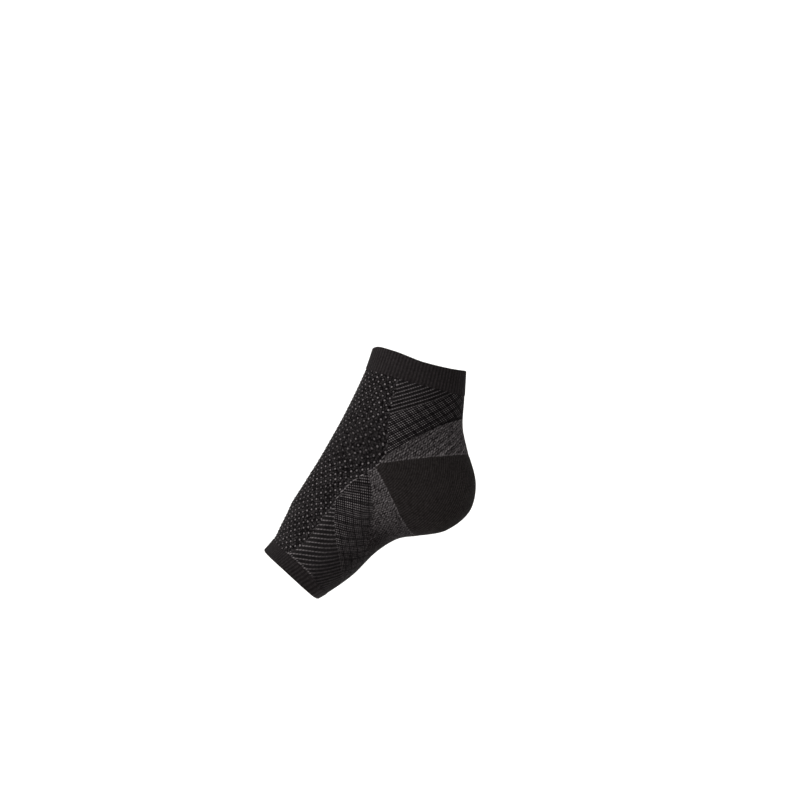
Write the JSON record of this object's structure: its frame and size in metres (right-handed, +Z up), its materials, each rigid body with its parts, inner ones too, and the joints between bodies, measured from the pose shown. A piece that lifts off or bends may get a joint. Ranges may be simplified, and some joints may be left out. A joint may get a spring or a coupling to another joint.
{
  "type": "compression ankle brace",
  "caption": "Knitted open-toe compression sleeve for the ankle and arch, in its worn form, with plain cuffs, a dotted instep, ribbed side zones, grey gussets and a thick heel cup.",
  "frame": {"origin": "centre of the ankle inside the sleeve, in the mid plane", "axes": "+Z up the leg, -X towards the toes, +X towards the heel, XZ is the mid plane of the sleeve"},
  "size_m": [0.1585, 0.0806, 0.1878],
  "materials": {
    "cuff_knit": "matte",
    "dot_knit": "matte",
    "rib_knit": "matte",
    "marl_knit": "matte",
    "heel_knit": "matte",
    "grid_knit": "matte"
  },
  "bodies": {
    "root": {"leg_cuff": "cuff_knit", "instep_panel": "dot_knit", "ankle_panel": "rib_knit", "upper_gusset": "marl_knit", "heel_cup": "heel_knit", "lower_gusset": "marl_knit", "arch_panel": "grid_knit", "arch_rib_panel": "rib_knit", "toe_cuff": "cuff_knit"}
  },
  "joints": []
}
